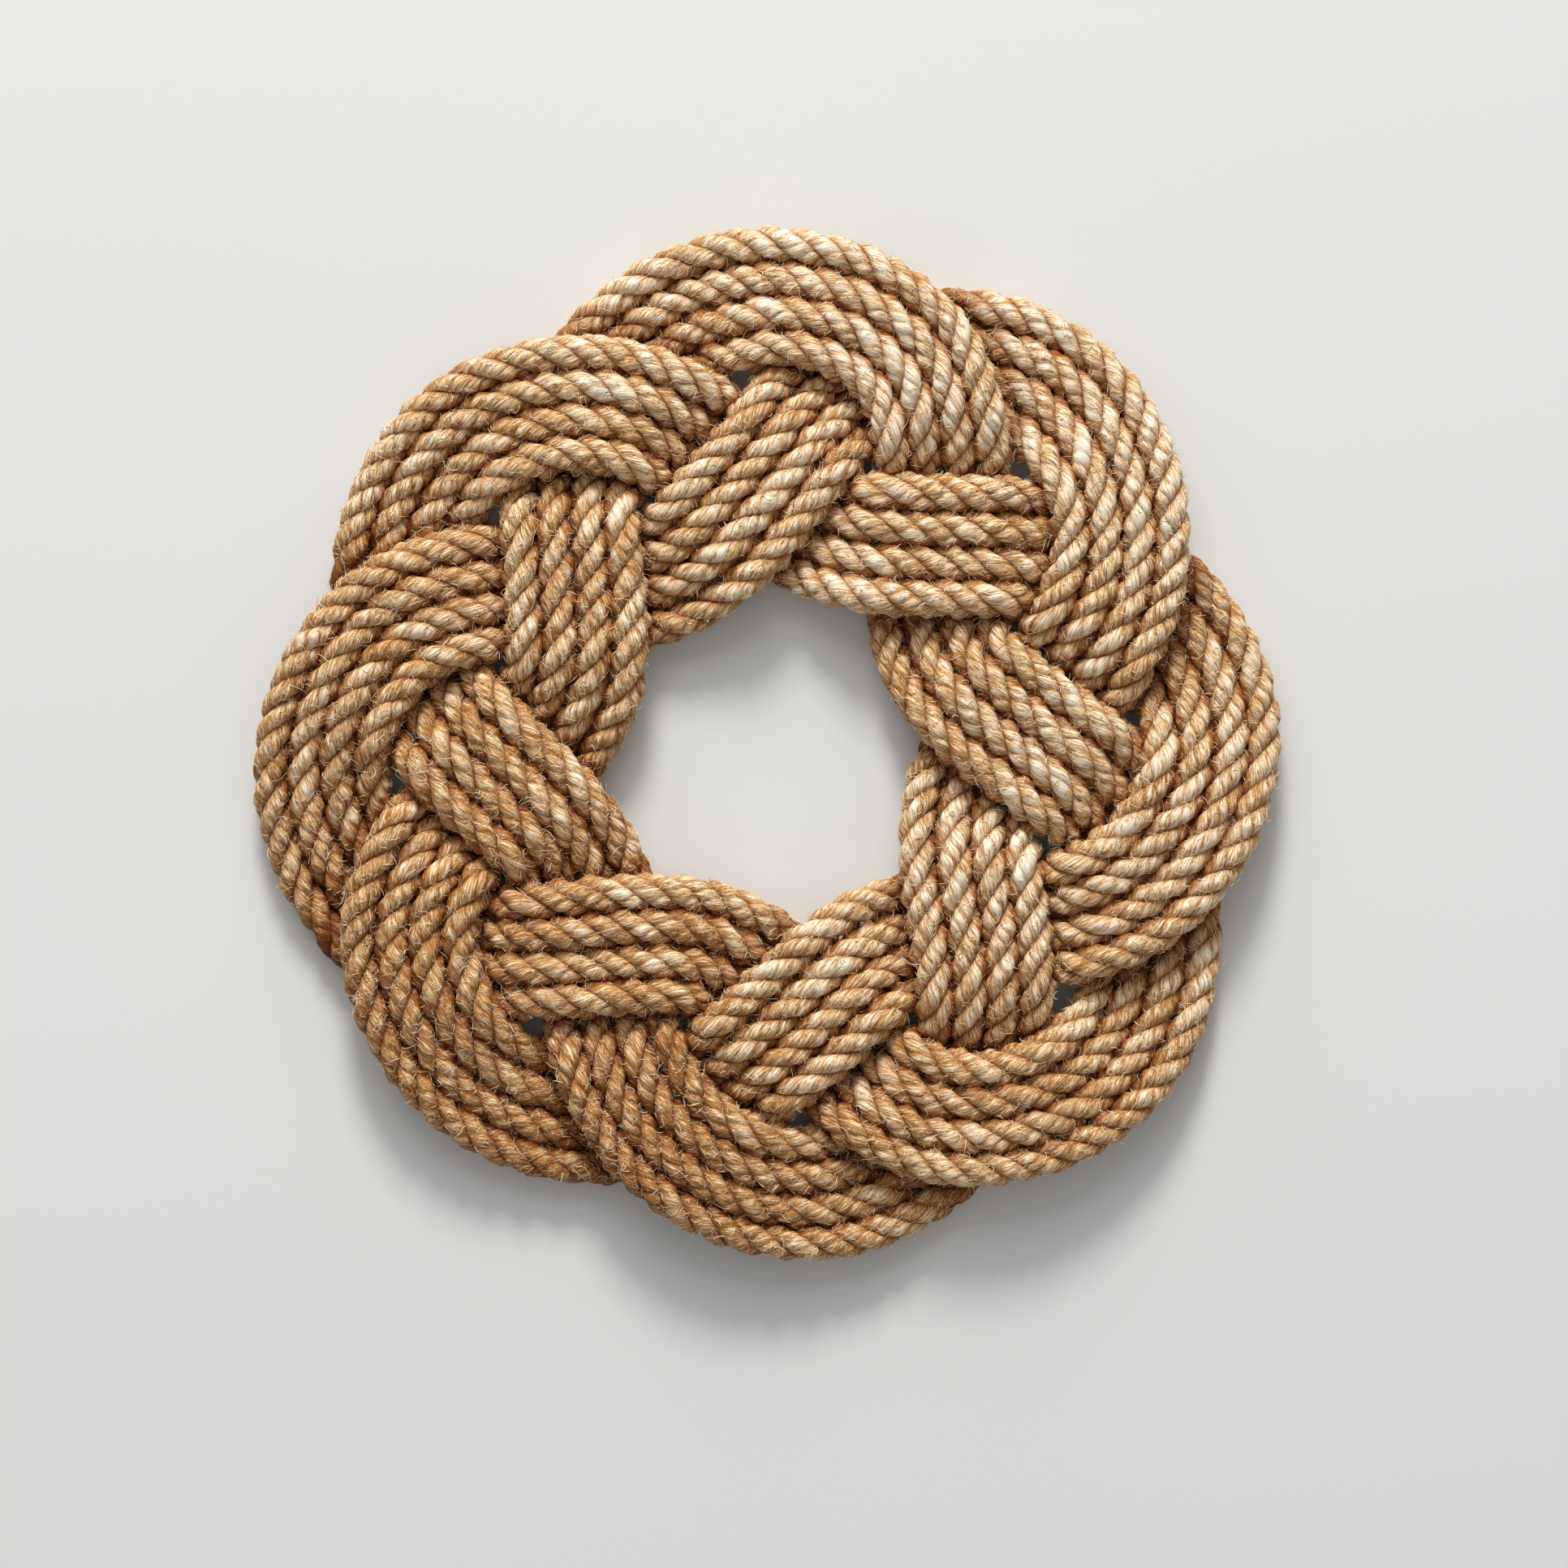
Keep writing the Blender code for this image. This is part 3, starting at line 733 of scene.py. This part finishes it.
def make_rope(skin, material):
    """The whole rope, in parts that meet end to end."""
    cuts = np.linspace(0, len(skin.places) - 1, PARTS + 1).round().astype(int)
    for part in range(PARTS):
        here = slice(cuts[part], cuts[part + 1] + 1)
        rings = skin.rings[here]
        name = f"rope_part_{part + 1:02d}"
        mesh = mesh_from(name, rings.reshape(-1, 3), tube_faces(len(rings), COLUMNS))
        write_attribute(mesh, "grain", skin.grain[here], "FLOAT_VECTOR")
        for look, values in skin.looks.items():
            write_attribute(mesh, look, values[here])
        length = skin.run[cuts[part + 1]] - skin.run[cuts[part]]
        write_map(mesh, strip_map(len(rings), COLUMNS, length, math.pi * ROPE))
        add_piece(name, mesh, material, node="rope")


def make_whipping(name, node, whipping, material):
    """Tight turns of two-ply twine, with both ends of the twine tucked in under the turns."""
    turns = TWINE_TURNS - 1
    count = TWINE_RINGS_PER_TURN * TWINE_TURNS
    share = np.linspace(0, 1, count)
    angle = 2 * math.pi * turns * share
    first = unit(np.cross(whipping.axis, UP))
    second = np.cross(whipping.axis, first)
    tuck = smooth(np.minimum(share, 1 - share) * turns * TUCK_PACE)
    middle_radius = whipping.radius - TWINE / 2 - TWINE * (1 - tuck)
    along = (2 * whipping.half - TWINE) * (share - 0.5)
    out = np.cos(angle)[:, None] * first + np.sin(angle)[:, None] * second
    path = whipping.middle + along[:, None] * whipping.axis + middle_radius[:, None] * out

    run = length_along(path)
    twist = 2 * math.pi * run / TWINE_LAY
    ahead = unit(np.gradient(path, axis=0))
    side = unit(np.cross(ahead, path - path.mean(axis=0)))
    up = np.cross(ahead, side)
    around = np.arange(TWINE_COLUMNS) / TWINE_COLUMNS * 2 * math.pi
    ply = around[None, :] - twist[:, None]
    reach = TWINE / 2 * TWINE_SWELL * (1 - PLY_DEPTH * (1 - np.abs(np.cos(ply))))
    rings = path[:, None, :] + reach[:, :, None] * (
        np.cos(around)[None, :, None] * side[:, None, :]
        + np.sin(around)[None, :, None] * up[:, None, :])
    mesh = mesh_from(name, rings.reshape(-1, 3), tube_faces(count, TWINE_COLUMNS))
    mm = run[:, None] * MM
    grain = np.stack(np.broadcast_arrays(around[None, :] * TWINE / 2 * MM + 0.8 * mm, mm, 5.0),
                     axis=-1)
    write_attribute(mesh, "grain", grain, "FLOAT_VECTOR")
    write_attribute(mesh, "hollow", (1 - np.cos(2 * ply)) / 2)
    write_map(mesh, strip_map(count, TWINE_COLUMNS, run[-1], math.pi * TWINE))
    add_piece(name, mesh, material, node=node)


def scatter(skin, rng, count):
    """Places on the rope's open sides, most of them near its creases, where fibres come loose."""
    tries = FIBRE_TRIES * count
    ring = rng.uniform(FIBRE_END_RINGS, len(skin.places) - FIBRE_END_RINGS, tries)
    angle = rng.uniform(0, 2 * math.pi, tries)
    creased = skin.value_at(skin.looks["crease"], ring, angle)
    wanted = FIBRE_CROWN_SHARE + (1 - FIBRE_CROWN_SHARE) * creased
    wanted = skin.value_at(skin.open, ring, angle) * wanted
    chosen = np.flatnonzero(wanted > rng.uniform(0, 1, tries))[:count]
    return ring[chosen], angle[chosen]


def fibre_spines(skin, rng, kind):
    """Lines that curl over the skin and rise from it, and the ways out of the rope along them."""
    count = kind["count"]
    start, angle = scatter(skin, rng, count)
    heading = rng.normal(0, kind["spread"], count) + math.pi * rng.integers(0, 2, count)
    curl = rng.normal(0, FIBRE_CURL, count)[:, None]
    wave = rng.normal(0, FIBRE_WAVE, count)[:, None]
    length = rng.uniform(*kind["lengths"], count) * rng.uniform(FIBRE_SHORTEST, 1.0, count)
    length = length[:, None]
    lift = rng.uniform(*kind["lifts"], count)[:, None]
    along = np.linspace(0, 1, kind["rings"])[None, :]
    direction = heading[:, None] + curl * (length * along) * MM + wave * np.sin(FIBRE_WAVES * along)
    stride = length / (kind["rings"] - 1)
    ring = start[:, None] + np.cumsum(np.cos(direction) * stride, axis=1) / RING_STEP
    turn = angle[:, None] + np.cumsum(np.sin(direction) * stride, axis=1) / FIBRE_TURN_RADIUS
    spine, outward = skin.spots(np.clip(ring, 1, len(skin.places) - 3), turn)
    spine = spine + outward * (FIBRE_GAP + lift * along ** FIBRE_RISE)[:, :, None]
    spine[:, 1:-1] = (spine[:, :-2] + 2 * spine[:, 1:-1] + spine[:, 2:]) / 4
    lowest = FLOOR_GAP + FIBRE_SIZES[1] * kind["radius"]
    spine[:, :, 2] = np.maximum(spine[:, :, 2], lowest)
    return spine, outward


def make_fibres(skin, material, kind, number):
    """One mesh of loose fibres: thin three-sided hairs, each a closed tube."""
    rng = np.random.default_rng(kind["seed"] + number)
    spine, outward = fibre_spines(skin, rng, kind)
    count, rings = spine.shape[:2]
    ahead = unit(np.gradient(spine, axis=1) + 1e-9)
    first = unit(np.cross(ahead, outward) + 1e-9)
    second = np.cross(ahead, first)
    taper = 1 - FIBRE_TAPER * np.linspace(0, 1, rings) ** 2
    size = kind["radius"] * taper * rng.uniform(*FIBRE_SIZES, count)[:, None]
    edges = [spine + size[:, :, None] * (math.cos(a) * first + math.sin(a) * second)
             for a in np.arange(FIBRE_SIDES) * 2 * math.pi / FIBRE_SIDES]
    points = np.stack(edges, axis=2)
    tone = np.clip(rng.normal(kind["paleness"], FIBRE_TONES, count), 0, 1)

    base = (np.arange(count) * rings * FIBRE_SIDES)[:, None]
    sides, caps = tube_faces(rings, FIBRE_SIDES)
    quads = (base[:, :, None] + sides[None, :, :]).reshape(-1, 4)
    ends = np.concatenate([base + cap for cap in caps])
    name = f"{kind['name']}_{number + 1}"
    mesh = mesh_from(name, points.reshape(-1, 3), [quads, ends])
    write_attribute(mesh, "tone", np.repeat(tone, rings * FIBRE_SIDES))
    write_map(mesh, cell_map(count, len(sides)))
    add_piece(name, mesh, material)


class Nodes:
    """Short ways to add shader nodes to a material."""

    def __init__(self, name, specular):
        self.material = bpy.data.materials.new(name)
        self.material.use_nodes = True
        self.tree = self.material.node_tree
        self.shader = self.tree.nodes["Principled BSDF"]
        self.shader.inputs["Specular IOR Level"].default_value = specular

    def put(self, socket, value):
        """Set a socket to a value, or link it to another socket."""
        if isinstance(value, bpy.types.NodeSocket):
            self.tree.links.new(value, socket)
        elif isinstance(value, tuple) and len(socket.default_value) == 4:
            socket.default_value = (*value, 1.0)
        else:
            socket.default_value = value

    def surface(self, colour, roughness):
        """Give the material's surface its colour and roughness."""
        self.put(self.shader.inputs["Base Color"], colour)
        self.put(self.shader.inputs["Roughness"], roughness)
        return self.material

    def stored(self, name, output="Fac"):
        """A value stored on the mesh."""
        node = self.tree.nodes.new("ShaderNodeAttribute")
        node.attribute_name = name
        return node.outputs[output]

    def math(self, operation, a, b=0.0, clamp=False):
        """A Math node."""
        node = self.tree.nodes.new("ShaderNodeMath")
        node.operation = operation
        node.use_clamp = clamp
        self.put(node.inputs[0], a)
        self.put(node.inputs[1], b)
        return node.outputs[0]

    def vectors(self, operation, *values, output="Vector"):
        """A Vector Math node."""
        node = self.tree.nodes.new("ShaderNodeVectorMath")
        node.operation = operation
        for socket, value in zip(node.inputs, values):
            self.put(socket, value)
        return node.outputs[output]

    def total(self, value, *terms):
        """A value plus shares of others: each term is another value and its share."""
        for other, share in terms:
            value = self.math("ADD", value, self.math("MULTIPLY", other, share))
        return value

    def noise(self, vector, cells, detail):
        """Noise with a number of cells to a unit along each axis of a vector."""
        node = self.tree.nodes.new("ShaderNodeTexNoise")
        node.inputs["Scale"].default_value = 1.0
        node.inputs["Detail"].default_value = detail
        node.inputs["Roughness"].default_value = NOISE_ROUGHNESS
        self.put(node.inputs["Vector"], self.vectors("MULTIPLY", vector, cells))
        return node.outputs["Fac"]

    def steps(self, value, low, high):
        """A value stretched so that low becomes 0 and high becomes 1."""
        node = self.tree.nodes.new("ShaderNodeMapRange")
        node.interpolation_type = "SMOOTHSTEP"
        self.put(node.inputs["Value"], value)
        node.inputs["From Min"].default_value = low
        node.inputs["From Max"].default_value = high
        return node.outputs["Result"]

    def ramp(self, value, stops):
        """A colour ramp."""
        node = self.tree.nodes.new("ShaderNodeValToRGB")
        self.put(node.inputs["Fac"], value)
        while len(node.color_ramp.elements) < len(stops):
            node.color_ramp.elements.new(0.5)
        for element, (place, colour) in zip(node.color_ramp.elements, stops):
            element.position = place
            element.color = (*colour, 1.0)
        return node.outputs["Color"]

    def blend(self, kind, where, share, below, above):
        """A colour with another laid over it, by a value of the place times a share."""
        node = self.tree.nodes.new("ShaderNodeMix")
        node.data_type = "RGBA"
        node.blend_type = kind
        self.put(node.inputs[0], self.math("MULTIPLY", where, share))
        self.put(node.inputs[6], below)
        self.put(node.inputs[7], above)
        return node.outputs[2]

    def bump(self, height, strength, distance):
        """Fine relief of the surface from a height."""
        node = self.tree.nodes.new("ShaderNodeBump")
        node.inputs["Strength"].default_value = strength
        node.inputs["Distance"].default_value = distance
        self.put(node.inputs["Height"], height)
        self.put(self.shader.inputs["Normal"], node.outputs["Normal"])


def jute_material():
    """Golden-tan jute: fibres that change from yarn to yarn, with painted shade between yarns,
    strands and turns and beside crossings, and painted light on upward faces and on one side of the
    outer turns.
    """
    n = Nodes("jute", 0.14)
    grain = n.stored("grain", "Vector")
    crease = n.stored("crease")
    valley = n.stored("valley")
    under = n.stored("under")
    yarns = n.stored("yarns")

    # Each yarn has a number of its own, and a hollow on both sides
    yarn = n.math("FLOOR", yarns)
    from_middle = n.math("ABSOLUTE", n.math("SUBTRACT", n.math("SUBTRACT", yarns, yarn), 0.5))
    rim = n.math("POWER", n.math("MULTIPLY", from_middle, 2.0), 5.0)
    hollow = n.math("MULTIPLY", rim, n.stored("show"))
    own = n.tree.nodes.new("ShaderNodeTexWhiteNoise")
    own.noise_dimensions = "1D"
    n.put(own.inputs["W"], n.math("ADD", yarn, 0.5))
    shifted = n.vectors("MULTIPLY_ADD", own.outputs["Color"], (23.0, 0.0, 31.0), grain)

    # Fibres long in the yarn's direction, and larger patches over the mat
    fine = n.noise(shifted, (3.4, 0.30, 1.0), 2.0)
    finest = n.noise(shifted, (8.0, 0.60, 1.0), 1.0)
    medium = n.noise(grain, (0.8, 0.12, 1.0), 2.0)
    fleck = n.noise(shifted, (4.5, 1.0, 1.0), 1.0)
    spot = n.tree.nodes.new("ShaderNodeTexCoord").outputs["Object"]
    patch = n.noise(spot, (75.0, 75.0, 75.0), 3.0)
    broad = n.noise(spot, (24.0, 24.0, 24.0), 1.0)

    # Painted light: the outer turns are paler on one side of the mat, where light falls, and darker
    # on the other
    outer = n.steps(n.vectors("LENGTH", spot, output="Value"), 0.050, 0.095)
    light_side = n.vectors("DOT_PRODUCT", spot, (4.6, 7.0, 0.0), output="Value")
    painted_side_light = n.math("MULTIPLY", light_side, outer)

    # Painted light and shade in the paleness: paler on upward faces and on one side of the outer
    # turns, darker beside crossings, in hollows and creases and between turns
    paleness = n.total(-0.655, (fine, 0.95), (finest, 0.69), (medium, 0.36), (n.stored("tone"), 0.08),
                       (n.stored("top"), 0.11), (broad, 0.32), (painted_side_light, 0.115), (under, -0.05),
                       (own.outputs["Value"], 0.06), (hollow, -0.08), (crease, -0.13),
                       (valley, -0.14))
    colour = n.ramp(paleness, [
        (0.08, (0.150, 0.040, 0.006)),
        (0.32, (0.335, 0.123, 0.027)),
        (0.53, (0.515, 0.240, 0.066)),
        (0.68, (0.885, 0.610, 0.310)),
        (0.80, (1.000, 0.950, 0.820)),
    ])
    worn = n.steps(patch, 0.52, 0.68)
    colour = n.blend("MIX", worn, 0.24, colour, (0.50, 0.38, 0.23))
    colour = n.blend("MIX", n.steps(fleck, 0.58, 0.70), 0.66, colour, (0.95, 0.86, 0.66))

    # Painted shade, darker and browner: in the creases between strands, between yarns, between turns
    # and on low rope beside crossings
    deep = n.math("POWER", crease, 2.6)
    dark = n.total(0.35, (n.steps(patch, 0.38, 0.62), 0.60))
    colour = n.blend("MULTIPLY", deep, dark, colour, (0.52, 0.27, 0.10))
    # Painted shade in the hollows between yarns
    colour = n.blend("MULTIPLY", hollow, 0.52, colour, (0.62, 0.40, 0.22))
    # Painted shade between turns
    colour = n.blend("MULTIPLY", valley, 0.95, colour, (0.52, 0.26, 0.09))
    # Painted shade on low rope beside crossings
    colour = n.blend("MULTIPLY", under, 0.85, colour, (0.46, 0.27, 0.13))
    height = n.total(0.0, (fine, 0.65), (finest, 0.40), (fleck, 0.30), (hollow, -0.40))
    n.bump(height, 0.9, 0.00030)
    rough = n.math("SUBTRACT", 0.85, n.math("MULTIPLY", fine, 0.45), clamp=True)
    return n.surface(colour, rough)


def twine_material():
    """Waxed twine: pale fibres that follow its twist, with painted shade, browner, between its two
    plies.
    """
    n = Nodes("twine", 0.5)
    fine = n.noise(n.stored("grain", "Vector"), (9.0, 0.6, 1.0), 2.0)
    colour = n.ramp(fine, [
        (0.30, (0.38, 0.24, 0.12)),
        (0.50, (0.62, 0.46, 0.27)),
        (0.70, (0.80, 0.67, 0.46)),
    ])
    # Painted shade between the twine's two plies
    colour = n.blend("MULTIPLY", n.stored("hollow"), 0.6, colour, (0.55, 0.38, 0.25))
    n.bump(fine, 0.8, 0.0001)
    return n.surface(colour, n.math("SUBTRACT", 0.75, n.math("MULTIPLY", fine, 0.4)))


def fibre_material():
    """Loose fibres, from pale straw to brown, each in one tone."""
    n = Nodes("loose_fibre", 0.25)
    colour = n.ramp(n.stored("tone"), [
        (0.0, (0.26, 0.10, 0.03)),
        (0.35, (0.56, 0.31, 0.12)),
        (0.7, (0.88, 0.66, 0.36)),
        (1.0, (0.98, 0.87, 0.62)),
    ])
    return n.surface(colour, 0.5)


def add_lamp(name, shape, size, energy, colour, place):
    """A soft lamp that faces the mat."""
    lamp = bpy.data.lights.new(name, "AREA")
    lamp.shape = shape
    lamp.size = size[0]
    if shape == "RECTANGLE":
        lamp.size_y = size[1]
    lamp.energy = energy
    lamp.color = colour
    thing = bpy.data.objects.new(name, lamp)
    bpy.context.scene.collection.objects.link(thing)
    thing.location = place
    thing.rotation_euler = (-Vector(place)).to_track_quat("-Z", "Y").to_euler()


def make_stage():
    """Pale floor and soft light from the top of the picture."""
    bpy.ops.mesh.primitive_plane_add(size=FLOOR_SIZE, location=(0, 0, 0))
    floor = bpy.context.object
    floor.name = "floor"
    floor.data.materials.append(Nodes("pale_floor", 0.3).surface((0.80, 0.81, 0.80), 0.9))
    world = bpy.data.worlds.new("studio")
    bpy.context.scene.world = world
    world.use_nodes = True
    background = world.node_tree.nodes["Background"]
    background.inputs["Color"].default_value = (1.0, 1.0, 1.0, 1.0)
    background.inputs["Strength"].default_value = 0.36
    add_lamp("window", "RECTANGLE", (1.6, 2.1), 24.0, (1.0, 0.99, 0.98), (-0.25, 1.90, 1.25))
    add_lamp("key", "DISK", (0.80,), 80.0, (1.0, 0.985, 0.96), (-0.16, 2.84, 1.54))


def make_camera(middle):
    """The camera looks straight down on the mat."""
    data = bpy.data.cameras.new("camera")
    camera = bpy.data.objects.new("camera", data)
    bpy.context.scene.collection.objects.link(camera)
    data.sensor_width = SENSOR_WIDTH
    data.lens = SENSOR_WIDTH * CAMERA_HEIGHT / FRAME_WIDTH
    data.clip_start = 0.01
    data.clip_end = 10.0
    camera.location = (FRAME_CENTRE[0] - middle[0], FRAME_CENTRE[1] - middle[1],
                       CAMERA_HEIGHT + CAMERA_AIM_HEIGHT)
    bpy.context.scene.camera = camera


def main():
    """Make the camera, the rope with its whippings and fibres, and the studio."""
    line, middle = rope_path()
    make_camera(middle)
    whippings = [Whipping("whipping_start", line[0] - line[END_STEPS]),
                 Whipping("whipping_finish", line[-1] - line[-1 - END_STEPS])]
    places, run = evenly(with_ends(line, whippings), RING_STEP)
    skin = Skin(places, run, end_thickness(run, whippings))
    make_rope(skin, jute_material())
    twine = twine_material()
    for node, whipping in zip(("whipping_start", "whipping_finish"), whippings):
        make_whipping(f"{node}_twine", node, whipping, twine)
    fibre = fibre_material()
    for kind in FIBRE_KINDS:
        for number in range(kind["meshes"]):
            make_fibres(skin, fibre, kind, number)
    make_stage()
    bpy.context.scene.view_settings.view_transform = "Standard"


main()
